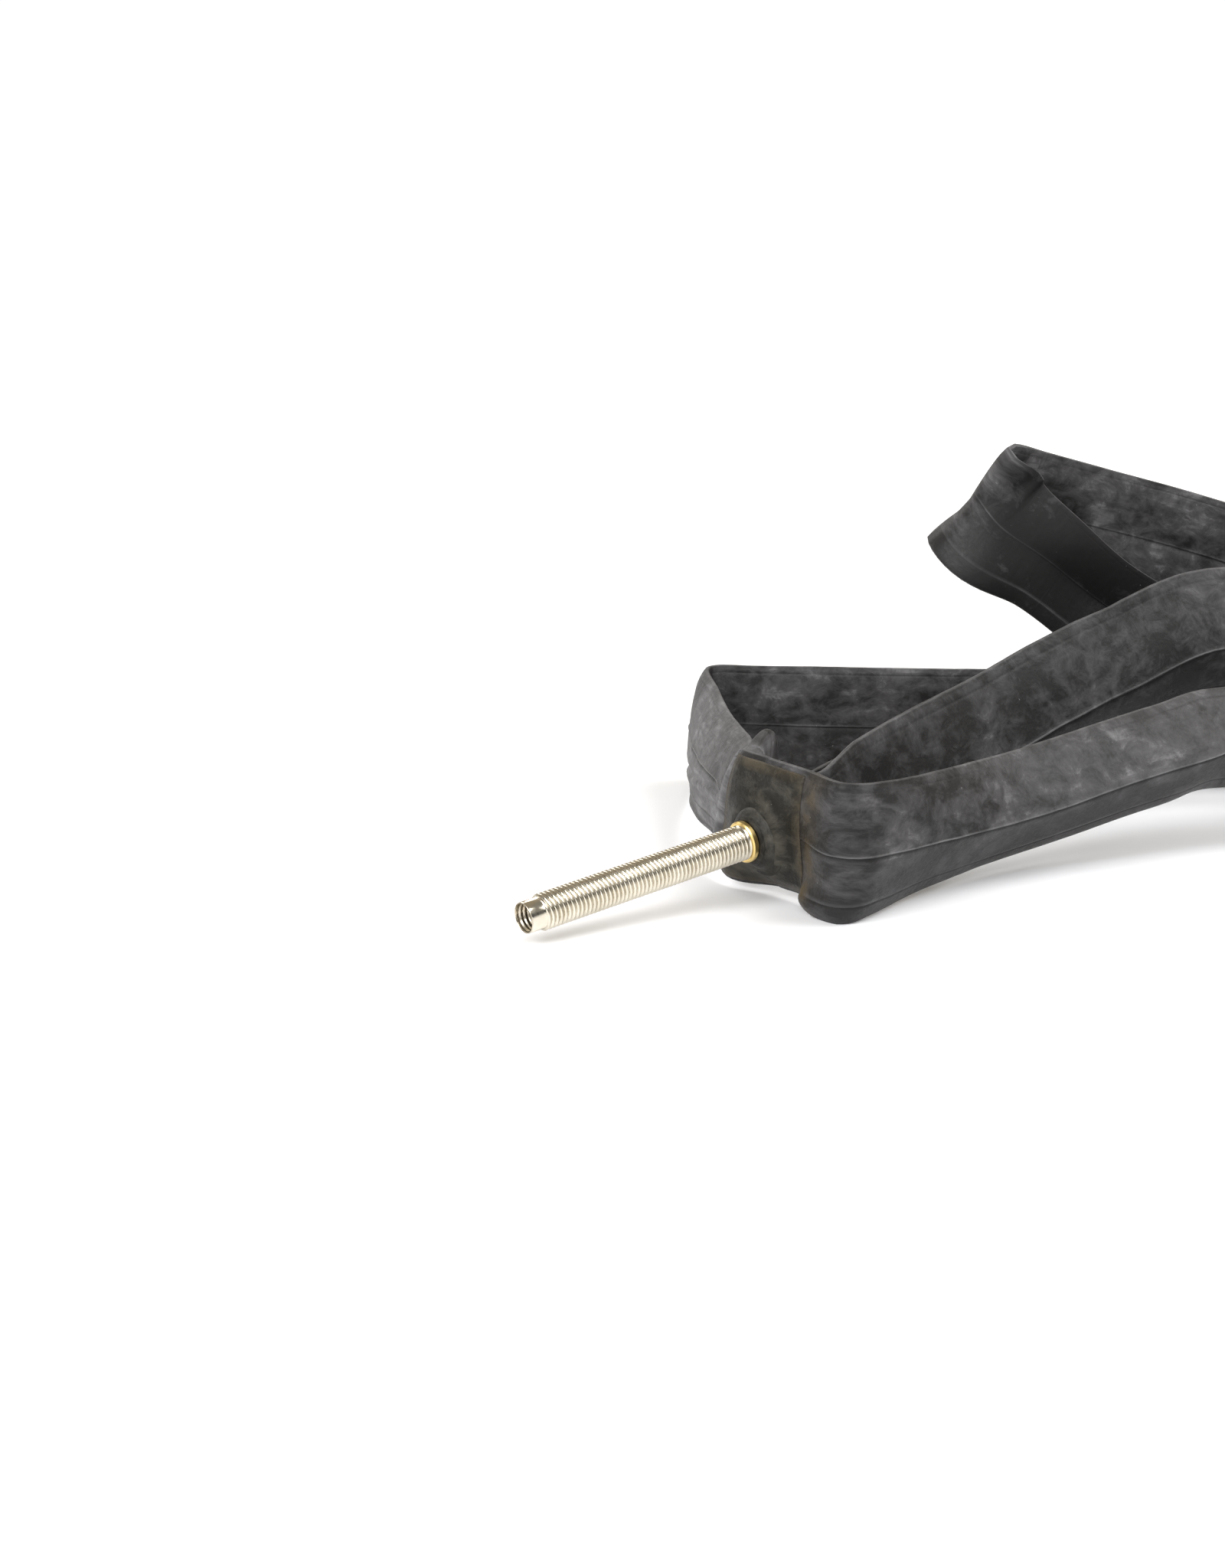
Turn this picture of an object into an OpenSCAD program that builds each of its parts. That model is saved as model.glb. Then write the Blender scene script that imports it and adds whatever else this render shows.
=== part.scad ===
// Deflated road bicycle inner tube with a long threaded valve stem whose core is taken out.
// The frame is millimetres, +Z up, the tube standing on edge on the plane z = 0, origin under the middle of the whole part.

/* [Valve stem] */
// outside diameter of the stem's thread
stem_d = 6; // [5:0.1:8]
// distance between two thread crests
stem_pitch = 0.8; // [0.5:0.1:1]
// length of the stem that stands out of the base ring
stem_len = 45; // [30:1:80]
// length of the plain neck at the mouth
neck_len = 2.8; // [1:0.1:5]
// diameter of the plain neck at the mouth
neck_d = 5.2; // [4.8:0.1:5.6]
// minor diameter of the mouth's inside thread
mouth_d = 4.3; // [4:0.1:4.6]
// depth of the mouth's wide part, which takes the core
mouth_depth = 20; // [10:1:30]
// diameter of the air passage below it
air_d = 3; // [2:0.1:4]
// diameter of the foot flange that the rubber holds
foot_d = 9; // [8:0.5:14]

/* [Base ring and rubber] */
// outside diameter of the plain brass ring
ring_d = 7.1; // [6.5:0.1:9]
// thickness of the plain brass ring
ring_t = 1.2; // [0.8:0.1:3]
// diameter of the rubber boss where it meets the patch
boss_d = 12.6; // [10:0.1:18]
// height of the rubber boss
boss_h = 2.5; // [1.5:0.1:5]
// thickness of the reinforcement patch
patch_t = 0.6; // [0.3:0.1:1.2]

/* [Valve core] */
// outside diameter of the core's thread
core_thread_d = 5; // [4.5:0.1:5.5]
// outside diameter of the rubber sleeve
sleeve_d = 4.1; // [3.8:0.1:4.3]
// diameter of the plunger pin
pin_d = 2; // [1.6:0.1:2.4]
// clearance round the pin, on the diameter
pin_gap = 0.1; // [0.04:0.02:0.2]
// outside diameter of the knurled lock nut
nut_d = 4.8; // [4:0.1:5.2]
// length of the knurled lock nut
nut_len = 3.4; // [2.5:0.1:5]

/* [Tube route] */
// rings along each step of the route
ring_steps = 3; // [1:1:6]

/* [Hidden] */
$fn = 64;
steel = [0.80, 0.78, 0.73];
brass = [0.80, 0.62, 0.25];
rubber = [0.16, 0.16, 0.17];
patch_rubber = [0.20, 0.19, 0.16];
seal_rubber = [0.08, 0.08, 0.08];

// Route of the flattened tube: x, y, z of its middle, lean of its face in degrees,
// width, thickness, and how far the mid crease stands out of the line between the edges.
route = [
    // the valve's panel and the rounded corner beside it
    [-137.5, -41.2, 13.1, -7.5, 23, 5, 0],
    [-131.8, -49.2, 12.8, -7, 22.8, 5, 0],
    [-127.5, -56.5, 12, -4, 23.8, 4.5, 1],
    [-122, -53, 11.9, -6, 23, 4.5, 1.5],
    // front run
    [-111, -39.5, 11.7, -6, 20.8, 4.5, 3.5],
    [-95, -24, 12.5, -3, 19.2, 4.5, 6],
    [-68, -9.5, 17.6, 0, 18.7, 4.5, 7.5],
    [-53, -2, 19.6, 0, 18.8, 4.5, 7.5],
    [-15, 6, 17, 0, 21.5, 4, 5],
    [35, 6, 13, 0, 25, 4, 2],
    [95, 5, 13.5, 0, 26, 4, 0],
    [167, 5, 13.5, 0, 26, 4, 0],
    // first fold at the right end
    [177.4, 16, 13.5, 0, 26, 4, 0],
    [167, 27, 13.5, 0, 26, 4, 0],
    // second run, which climbs and comes down inside the valve's loop
    [95, 28, 14, 0, 26, 4, -1],
    [35, 30, 17, 0, 26, 4, -2],
    [-15, 33, 27, 0, 25, 4, -3],
    [-46, 34, 33.2, -3, 25, 4, -4],
    [-70, 24, 26.6, -3, 25, 4, -4],
    [-83, 16, 22.2, -3, 25, 4, -4],
    [-96, 6, 17.5, -3, 25, 4, -4],
    [-110, -7, 14.3, -2, 24, 4, -3],
    [-122, -20.5, 11.6, 0, 23, 4, -2],
    [-128.5, -29, 9.8, 0, 19.4, 3, -1],
    // tight fold inside the loop
    [-131, -25.5, 9.1, 0, 18, 3, 0],
    [-123, -10.5, 9.3, 0, 18.4, 3, 0],
    // third run, low behind the second
    [-110, 5, 10.6, 0, 20.6, 4, 0],
    [-90, 21.5, 12.3, 0, 24, 4, 0],
    [-68, 35, 12.5, 0, 24.5, 4, 0],
    [-46, 41, 12.5, 0, 24.5, 4, 0],
    [-15, 41, 13, 0, 25.5, 4, 0],
    [35, 38, 13.5, 0, 26, 4, 0],
    [95, 37, 13.5, 0, 26, 4, 0],
    [163, 37, 13.5, 0, 26, 4, 0],
    // outer fold at the right end
    [178.4, 52, 13.5, 0, 26, 4, 0],
    [163, 67, 13.5, 0, 26, 4, 0],
    // rear run, which climbs to the raised fold
    [95, 68, 13.5, 0, 26, 4, 1],
    [45, 68, 17, 0, 25, 4, 1.5],
    [5, 68, 28, 0, 24, 4, 1.5],
    [-42.5, 67, 43.3, 0, 24, 4, 2.4],
    [-66, 66, 49.6, 0, 24.5, 4, 2.4],
    [-81, 64, 53.5, 12, 25.5, 4, 2],
    // raised fold
    [-90, 60, 56.6, 36, 26.5, 3, 0],
    [-87, 56, 50.8, 16, 26, 3, -1],
    // run that comes down from it
    [-77, 55.5, 44, 0, 21.5, 4, -2],
    [-64.5, 56.5, 34.7, 0, 19.5, 4, -4],
    [-50, 58, 26.2, 0, 20.5, 4, -4],
    [-30, 59, 17, 0, 23, 4, -3],
    [-5, 59, 13, 0, 25, 4, -1],
    [45, 58.5, 13.5, 0, 26, 4, 0],
    [95, 58.5, 13.5, 0, 26, 4, 0],
    [149, 58, 13.5, 0, 26, 4, 0],
    // inner fold at the right end
    [155, 52.5, 13.5, 0, 26, 4, 0],
    [149, 47, 13.5, 0, 26, 4, 0],
    // back run of the valve's loop
    [95, 47, 13.5, 0, 26, 4, 0],
    [35, 48, 13.5, 0, 26, 4, 0],
    [-15, 50, 13, 0, 25, 4, 0],
    [-46, 49, 12.5, 0, 24, 4, 0],
    [-68, 46, 12.3, 0, 23.5, 4, 1],
    [-90, 42.5, 12.2, 0, 23.8, 4, 1],
    [-115, 41.5, 12.4, 0, 24.4, 4, 1],
    [-135, 44.5, 12.3, 0, 24.2, 4, 1],
    // back corner and the left side of the loop
    [-144, 46, 12.5, 2, 24, 4, 0],
    [-147.5, 40.5, 12.7, 6, 23.5, 4, 0],
    [-147.8, 23, 13, 14, 22.5, 4.5, 0],
    [-146.7, -1, 14, 18, 20.5, 5, 0.5],
    [-144.2, -22.5, 15, 18, 19, 5.5, 0.5],
    [-143.2, -33.2, 13, 0, 23, 5, 0.3],
];
count = len(route);

// Outline of the flattened section: share of the half width, share of the thickness, counterclockwise.
outline = [
    [1, 0], [0.93, 0.28], [0.62, 0.5], [0, 0.5], [-0.62, 0.5], [-0.93, 0.28],
    [-1, 0], [-0.93, -0.28], [-0.62, -0.5], [0, -0.5], [0.62, -0.5], [0.93, -0.28],
];

function stop_at(i) = route[(i + count) % count];
// point of the smooth closed curve, t from 0 to 1 between stop i and the next
function along(i, t) =
    0.5 * (2 * stop_at(i)
    + (stop_at(i + 1) - stop_at(i - 1)) * t
    + (2 * stop_at(i - 1) - 5 * stop_at(i) + 4 * stop_at(i + 1) - stop_at(i + 2)) * t * t
    + (3 * stop_at(i) - stop_at(i - 1) - 3 * stop_at(i + 1) + stop_at(i + 2)) * t * t * t);
function slope(i, t) =
    0.5 * ((stop_at(i + 1) - stop_at(i - 1))
    + 2 * (2 * stop_at(i - 1) - 5 * stop_at(i) + 4 * stop_at(i + 1) - stop_at(i + 2)) * t
    + 3 * (3 * stop_at(i) - stop_at(i - 1) - 3 * stop_at(i + 1) + stop_at(i + 2)) * t * t);
function first3(v) = [v[0], v[1], v[2]];
function unit(v) = v / norm(v);
function heading(i, t) = unit(first3(slope(i, t)));
function sideways(i, t) = unit(cross([0, 0, 1], heading(i, t)));
function upright(i, t) = cross(heading(i, t), sideways(i, t));
function edge_way(i, t) =
    cos(along(i, t)[3]) * upright(i, t) + sin(along(i, t)[3]) * sideways(i, t);
function face_way(i, t) = cross(heading(i, t), edge_way(i, t));
// point of the section at stop i + t, a as a share of the half width, b in thicknesses, extra outward
function skin(i, t, a, b, extra = 0) =
    first3(along(i, t))
    + edge_way(i, t) * a * along(i, t)[4] / 2
    + face_way(i, t) * (b * along(i, t)[5] + (1 - abs(a)) * along(i, t)[6] + extra);

// The stem's seat: middle of the base ring's inner face, with the stem's axis as its Z.
seat = [-142.7, -43.6, 10.7];
stem_droop = 7.5;
stem_turn = 215.6;
module at_valve() {
    translate(seat) rotate([0, 90 + stem_droop, stem_turn]) children();
}

// The loose core lies along X on the plane, its thread touching it.
core_at = [-116, 34, 2.5];
module at_core() {
    translate(core_at) rotate([0, 90, 0]) children();
}
thread_depth = 0.49;

// Solid of revolution between grooves: ring grooves with 60 degree flanks, one per pitch.
module threaded_rod(d, pitch, len) {
    turns = floor(len / pitch);
    root = d / 2 - thread_depth * pitch / 0.8;
    flank = pitch * 0.4;
    rotate_extrude()
        polygon(concat(
            [[0, 0], [root, 0]],
            [for (k = [0 : turns - 1]) for (p = [
                [root, k * pitch + 0.01],
                [d / 2, k * pitch + flank],
                [d / 2, k * pitch + flank + 0.1],
                [root, (k + 1) * pitch - 0.01]]) p],
            [[root, len], [0, len]]));
}

module tube() {
    rings = count * ring_steps;
    sides = len(outline);
    points = [for (r = [0 : rings - 1]) for (p = outline)
        skin(floor(r / ring_steps), (r % ring_steps) / ring_steps, p[0], p[1])];
    faces = [for (r = [0 : rings - 1]) for (k = [0 : sides - 1])
        let (r2 = (r + 1) % rings, k2 = (k + 1) % sides)
        for (f = [
            [r * sides + k, r * sides + k2, r2 * sides + k2],
            [r * sides + k, r2 * sides + k2, r2 * sides + k]]) f];
    color(rubber) polyhedron(points = points, faces = faces, convexity = 20);
}

// Sheet that follows the tube's outer face from one end of the valve's panel to the other.
patch_from = -1;
patch_to = 1;
patch_across = [0.93, 0.62, 0, -0.62, -0.93];
patch_depth = [0.28, 0.5, 0.5, 0.5, 0.28];
module valve_patch() {
    steps = (patch_to - patch_from) * ring_steps;
    wide = len(patch_across);
    sides = 2 * wide;
    points = [for (r = [0 : steps])
        let (i = patch_from + floor(r / ring_steps), t = (r % ring_steps) / ring_steps)
        for (k = [0 : sides - 1])
            k < wide
            ? skin(i, t, patch_across[k], patch_depth[k], patch_t)
            : skin(i, t, patch_across[sides - 1 - k], patch_depth[sides - 1 - k], 0.02)];
    walls = [for (r = [0 : steps - 1]) for (k = [0 : sides - 1])
        let (k2 = (k + 1) % sides)
        for (f = [
            [r * sides + k, r * sides + k2, (r + 1) * sides + k2],
            [r * sides + k, (r + 1) * sides + k2, (r + 1) * sides + k]]) f];
    ends = [for (k = [0 : wide - 2]) for (f = [
        [k, sides - 1 - k, k + 1],
        [k + 1, sides - 1 - k, sides - 2 - k],
        [steps * sides + k, steps * sides + k + 1, steps * sides + sides - 1 - k],
        [steps * sides + k + 1, steps * sides + sides - 2 - k, steps * sides + sides - 1 - k]]) f];
    color(patch_rubber) polyhedron(points = points, faces = concat(walls, ends), convexity = 8);
}

module valve_boss() {
    color(patch_rubber) at_valve() rotate_extrude()
        polygon([
            [foot_d / 2, -boss_h], [boss_d / 2, -boss_h], [boss_d / 2 - 0.3, -boss_h + 0.9],
            [ring_d / 2 + 1, -0.5], [ring_d / 2 + 0.3, 0], [stem_d / 2, 0],
            [stem_d / 2, -boss_h + 1.2], [foot_d / 2, -boss_h + 1.2]]);
}

module base_ring() {
    color(brass) at_valve() difference() {
        rotate_extrude() polygon([
            [0, 0.02], [ring_d / 2 - 0.2, 0.02], [ring_d / 2, 0.25],
            [ring_d / 2, ring_t - 0.25], [ring_d / 2 - 0.25, ring_t], [0, ring_t]]);
        translate([0, 0, -1]) cylinder(d = stem_d, h = ring_t + 2);
    }
}

module valve_stem() {
    plain = ring_t + 0.2;
    cut = stem_len - plain - neck_len;
    color(steel) at_valve() difference() {
        union() {
            translate([0, 0, -boss_h + 0.02]) cylinder(d = foot_d, h = 1.18);
            translate([0, 0, -boss_h + 1.2]) cylinder(d = stem_d, h = boss_h - 1.2 + plain);
            translate([0, 0, plain]) threaded_rod(stem_d, stem_pitch, cut);
            // the neck starts under the last crest's flank
            translate([0, 0, stem_len - neck_len - 0.1]) cylinder(d = neck_d, h = neck_len - 0.2);
            translate([0, 0, stem_len - 0.3]) cylinder(d1 = neck_d, d2 = neck_d - 0.4, h = 0.3);
        }
        translate([0, 0, -boss_h - 1]) cylinder(d = air_d, h = stem_len + boss_h + 2);
        translate([0, 0, stem_len - mouth_depth]) cylinder(d = mouth_d, h = mouth_depth + 1);
        for (k = [0 : 7])
            translate([0, 0, stem_len - 0.8 - k * stem_pitch]) rotate_extrude()
                polygon([[mouth_d / 2 - 0.1, -0.3], [mouth_d / 2 + 0.2, 0], [mouth_d / 2 - 0.1, 0.3]]);
    }
}

// Core, outer end towards +Z of its own frame: flats, thread, sleeve seat and barrel, drilled for the pin.
core_flats_top = 5;
core_thread_end = -5;
sleeve_top = -6.2;
sleeve_end = -9;
barrel_end = -10.2;
seal_top = -11.7;
seal_end = -12.9;
disc_end = -14.3;
pin_end = -17.7;
pin_top = 14.6;
nut_from = 8;
module core_body() {
    color(steel) at_core() difference() {
        union() {
            intersection() {
                cylinder(d = core_thread_d - 0.2, h = core_flats_top);
                translate([-1.8, -4, -1]) cube([3.6, 8, core_flats_top + 2]);
            }
            translate([0, 0, -0.6]) cylinder(d = core_thread_d - 0.8, h = 0.7);
            translate([0, 0, core_thread_end]) threaded_rod(core_thread_d, 0.8, 4.5);
            translate([0, 0, sleeve_top]) cylinder(d = 4.5, h = 1.3);
            translate([0, 0, barrel_end]) cylinder(d = 3.1, h = 5);
            translate([0, 0, barrel_end]) cylinder(d = 3.9, h = 1.2);
        }
        translate([0, 0, barrel_end - 1]) cylinder(d = pin_d + pin_gap, h = 20);
        translate([0, 0, barrel_end - 1]) cylinder(d = 2.9, h = 2.4);
    }
}

module core_sleeve() {
    color(seal_rubber) at_core() rotate_extrude()
        polygon([
            [3.1 / 2, sleeve_end], [sleeve_d / 2 - 0.15, sleeve_end],
            [sleeve_d / 2, sleeve_end + 0.5], [sleeve_d / 2, sleeve_top - 0.5],
            [sleeve_d / 2 - 0.15, sleeve_top], [3.1 / 2, sleeve_top]]);
}

module core_plunger() {
    color(brass) at_core() difference() {
        union() {
            translate([0, 0, pin_end]) cylinder(d = pin_d, h = pin_top - pin_end - 0.3);
            translate([0, 0, pin_top - 0.3]) cylinder(d1 = pin_d, d2 = pin_d - 0.6, h = 0.3);
            translate([0, 0, disc_end]) cylinder(d = 4, h = seal_end - disc_end);
            translate([0, 0, seal_end]) cylinder(d = 2.5, h = seal_top - seal_end + 1.2);
        }
        translate([0, 0, pin_end - 1]) cylinder(d = 1.2, h = 2.6);
    }
}

module plunger_seal() {
    color(seal_rubber) at_core() rotate_extrude()
        polygon([
            [2.5 / 2, seal_end], [2, seal_end], [2, seal_end + 0.3],
            [1.55, seal_top], [2.5 / 2, seal_top]]);
}

module lock_nut() {
    color(brass) at_core() translate([0, 0, nut_from]) difference() {
        union() {
            linear_extrude(height = nut_len) union() {
                circle(d = nut_d - 0.4);
                for (k = [0 : 19]) rotate(k * 18) translate([nut_d / 2 - 0.25, 0]) circle(d = 0.5, $fn = 16);
            }
            translate([0, 0, -0.6]) cylinder(d1 = 3.2, d2 = nut_d - 0.5, h = 0.6);
        }
        translate([0, 0, -2]) cylinder(d = pin_d + 0.06, h = nut_len + 4);
    }
}

tube();
valve_patch();
valve_boss();
base_ring();
valve_stem();
core_body();
core_sleeve();
core_plunger();
plunger_seal();
lock_nut();
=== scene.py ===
"""Deflated road bicycle inner tube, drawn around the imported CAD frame.

The tube, its patch, the rubber boss and the threaded stem get detailed meshes in place of
their CAD solids. The loose core and the brass ring keep their CAD shapes and get materials.
"""

import math

import bmesh
import bpy
import numpy as np
from mathutils import Matrix, Vector, noise


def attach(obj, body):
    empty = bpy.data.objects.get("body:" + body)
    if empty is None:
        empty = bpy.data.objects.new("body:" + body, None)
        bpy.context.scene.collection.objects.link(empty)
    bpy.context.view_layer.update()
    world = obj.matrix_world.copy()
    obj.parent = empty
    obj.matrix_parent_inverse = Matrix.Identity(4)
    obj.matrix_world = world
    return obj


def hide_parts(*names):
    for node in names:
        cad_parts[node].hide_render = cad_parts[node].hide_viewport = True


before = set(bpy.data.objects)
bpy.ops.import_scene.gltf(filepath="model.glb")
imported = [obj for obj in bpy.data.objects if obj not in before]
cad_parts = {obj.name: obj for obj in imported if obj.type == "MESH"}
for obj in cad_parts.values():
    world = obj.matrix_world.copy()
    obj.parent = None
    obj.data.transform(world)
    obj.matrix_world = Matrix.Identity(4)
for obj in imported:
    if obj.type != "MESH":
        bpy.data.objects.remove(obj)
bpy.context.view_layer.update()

# ---------------------------------------------------------------- dimensions, in metres
SEAT = Vector((-0.1427, -0.0436, 0.0107))
STEM_DROOP = math.radians(7.5)
STEM_TURN = math.radians(215.6)
STEM_R = 0.003
STEM_LEN = 0.045
PITCH = 0.0008
THREAD_DEPTH = 0.00046
NECK_LEN = 0.0028
NECK_R = 0.0026
MOUTH_R = 0.00215
MOUTH_DEPTH = 0.020
AIR_R = 0.0015
# depth of the inside thread below the mouth
MOUTH_THREAD = 0.0068
# the foot flange that the rubber holds
FOOT_R = 0.0045
FLANGE_T = 0.0012
RING_TOP = 0.0012
RING_R = 0.00355
BOSS_R = 0.0054
BOSS_H = 0.0025
# share of the tube's half width that the patch covers
PATCH_SHARE = 0.93
PATCH_T = 0.00036
PATCH_BEVEL = 0.0018
# half the thickness at a pressed fold edge, and the share of the half width where its round starts
LIP = 0.00048
LIP_FROM = 0.965

# Stops of the tube's route: x, y, z of the middle, lean in degrees, width, thickness,
# and how far the mid crease stands out of the line between the edges.
ROUTE = [
    # the valve's panel and the rounded corner beside it
    (-0.1375, -0.0412, 0.0131, -7.5, 0.023, 0.005, 0),
    (-0.1318, -0.0492, 0.0128, -7, 0.0228, 0.005, 0),
    (-0.1275, -0.0565, 0.012, -4, 0.0238, 0.0045, 0.001),
    (-0.122, -0.053, 0.0119, -6, 0.023, 0.0045, 0.0015),
    # front run
    (-0.111, -0.0395, 0.0117, -6, 0.0208, 0.0045, 0.0035),
    (-0.095, -0.024, 0.0125, -3, 0.0192, 0.0045, 0.006),
    (-0.068, -0.0095, 0.0176, 0, 0.0187, 0.0045, 0.0075),
    (-0.053, -0.002, 0.0196, 0, 0.0188, 0.0045, 0.0075),
    (-0.015, 0.006, 0.017, 0, 0.0215, 0.004, 0.005),
    (0.035, 0.006, 0.013, 0, 0.025, 0.004, 0.002),
    (0.095, 0.005, 0.0135, 0, 0.026, 0.004, 0),
    (0.167, 0.005, 0.0135, 0, 0.026, 0.004, 0),
    # first fold at the right end
    (0.1774, 0.016, 0.0135, 0, 0.026, 0.004, 0),
    (0.167, 0.027, 0.0135, 0, 0.026, 0.004, 0),
    # second run, which climbs and comes down inside the valve's loop
    (0.095, 0.028, 0.014, 0, 0.026, 0.004, -0.001),
    (0.035, 0.03, 0.017, 0, 0.026, 0.004, -0.002),
    (-0.015, 0.033, 0.027, 0, 0.025, 0.004, -0.003),
    (-0.046, 0.034, 0.0332, -3, 0.025, 0.004, -0.004),
    (-0.07, 0.024, 0.0266, -3, 0.025, 0.004, -0.004),
    (-0.083, 0.016, 0.0222, -3, 0.025, 0.004, -0.004),
    (-0.096, 0.006, 0.0175, -3, 0.025, 0.004, -0.004),
    (-0.11, -0.007, 0.0143, -2, 0.024, 0.004, -0.003),
    (-0.122, -0.0205, 0.0116, 0, 0.023, 0.004, -0.002),
    (-0.1285, -0.029, 0.0098, 0, 0.0194, 0.003, -0.001),
    # tight fold inside the loop
    (-0.131, -0.0255, 0.0091, 0, 0.018, 0.003, 0),
    (-0.123, -0.0105, 0.0093, 0, 0.0184, 0.003, 0),
    # third run, low behind the second
    (-0.11, 0.005, 0.0106, 0, 0.0206, 0.004, 0),
    (-0.09, 0.0215, 0.0123, 0, 0.024, 0.004, 0),
    (-0.068, 0.035, 0.0125, 0, 0.0245, 0.004, 0),
    (-0.046, 0.041, 0.0125, 0, 0.0245, 0.004, 0),
    (-0.015, 0.041, 0.013, 0, 0.0255, 0.004, 0),
    (0.035, 0.038, 0.0135, 0, 0.026, 0.004, 0),
    (0.095, 0.037, 0.0135, 0, 0.026, 0.004, 0),
    (0.163, 0.037, 0.0135, 0, 0.026, 0.004, 0),
    # outer fold at the right end
    (0.1784, 0.052, 0.0135, 0, 0.026, 0.004, 0),
    (0.163, 0.067, 0.0135, 0, 0.026, 0.004, 0),
    # rear run, which climbs to the raised fold
    (0.095, 0.068, 0.0135, 0, 0.026, 0.004, 0.001),
    (0.045, 0.068, 0.017, 0, 0.025, 0.004, 0.0015),
    (0.005, 0.068, 0.028, 0, 0.024, 0.004, 0.0015),
    (-0.0425, 0.067, 0.0433, 0, 0.024, 0.004, 0.0024),
    (-0.066, 0.066, 0.0496, 0, 0.0245, 0.004, 0.0024),
    (-0.081, 0.064, 0.0535, 12, 0.0255, 0.004, 0.002),
    # raised fold
    (-0.09, 0.06, 0.0566, 36, 0.0265, 0.003, 0),
    (-0.087, 0.056, 0.0508, 16, 0.026, 0.003, -0.001),
    # run that comes down from it
    (-0.077, 0.0555, 0.044, 0, 0.0215, 0.004, -0.002),
    (-0.0645, 0.0565, 0.0347, 0, 0.0195, 0.004, -0.004),
    (-0.05, 0.058, 0.0262, 0, 0.0205, 0.004, -0.004),
    (-0.03, 0.059, 0.017, 0, 0.023, 0.004, -0.003),
    (-0.005, 0.059, 0.013, 0, 0.025, 0.004, -0.001),
    (0.045, 0.0585, 0.0135, 0, 0.026, 0.004, 0),
    (0.095, 0.0585, 0.0135, 0, 0.026, 0.004, 0),
    (0.149, 0.058, 0.0135, 0, 0.026, 0.004, 0),
    # inner fold at the right end
    (0.155, 0.0525, 0.0135, 0, 0.026, 0.004, 0),
    (0.149, 0.047, 0.0135, 0, 0.026, 0.004, 0),
    # back run of the valve's loop
    (0.095, 0.047, 0.0135, 0, 0.026, 0.004, 0),
    (0.035, 0.048, 0.0135, 0, 0.026, 0.004, 0),
    (-0.015, 0.05, 0.013, 0, 0.025, 0.004, 0),
    (-0.046, 0.049, 0.0125, 0, 0.024, 0.004, 0),
    (-0.068, 0.046, 0.0123, 0, 0.0235, 0.004, 0.001),
    (-0.09, 0.0425, 0.0122, 0, 0.0238, 0.004, 0.001),
    (-0.115, 0.0415, 0.0124, 0, 0.0244, 0.004, 0.001),
    (-0.135, 0.0445, 0.0123, 0, 0.0242, 0.004, 0.001),
    # back corner and the left side of the loop
    (-0.144, 0.046, 0.0125, 2, 0.024, 0.004, 0),
    (-0.1475, 0.0405, 0.0127, 6, 0.0235, 0.004, 0),
    (-0.1478, 0.023, 0.013, 14, 0.0225, 0.0045, 0),
    (-0.1467, -0.001, 0.014, 18, 0.0205, 0.005, 0.0005),
    (-0.1442, -0.0225, 0.015, 18, 0.019, 0.0055, 0.0005),
    (-0.1432, -0.0332, 0.013, 0, 0.023, 0.005, 0.0003),
]

# ---------------------------------------------------------------- camera, floor and light
CAMERA_AT = (-0.165, -0.439, 0.1117)
CAMERA_TILT = math.radians(77.0)
CAMERA_LENS = 56.25


def make_camera():
    """Camera at the photograph's viewing angle."""
    data = bpy.data.cameras.new("camera")
    data.lens = CAMERA_LENS
    data.sensor_width = 36.0
    data.clip_start = 0.01
    data.clip_end = 50.0
    camera = bpy.data.objects.new("camera", data)
    camera.location = CAMERA_AT
    camera.rotation_euler = (CAMERA_TILT, 0.0, 0.0)
    bpy.context.collection.objects.link(camera)
    bpy.context.scene.camera = camera


def area_light(name, where, at, size, power, colour=(1.0, 1.0, 1.0)):
    """Rectangular light at where, aimed at a point."""
    data = bpy.data.lights.new(name, "AREA")
    data.shape = "RECTANGLE"
    data.size = size[0]
    data.size_y = size[1]
    data.energy = power
    data.color = colour
    light = bpy.data.objects.new(name, data)
    light.location = where
    aim = Vector(at) - Vector(where)
    light.rotation_euler = aim.to_track_quat("-Z", "Y").to_euler()
    bpy.context.collection.objects.link(light)


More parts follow.
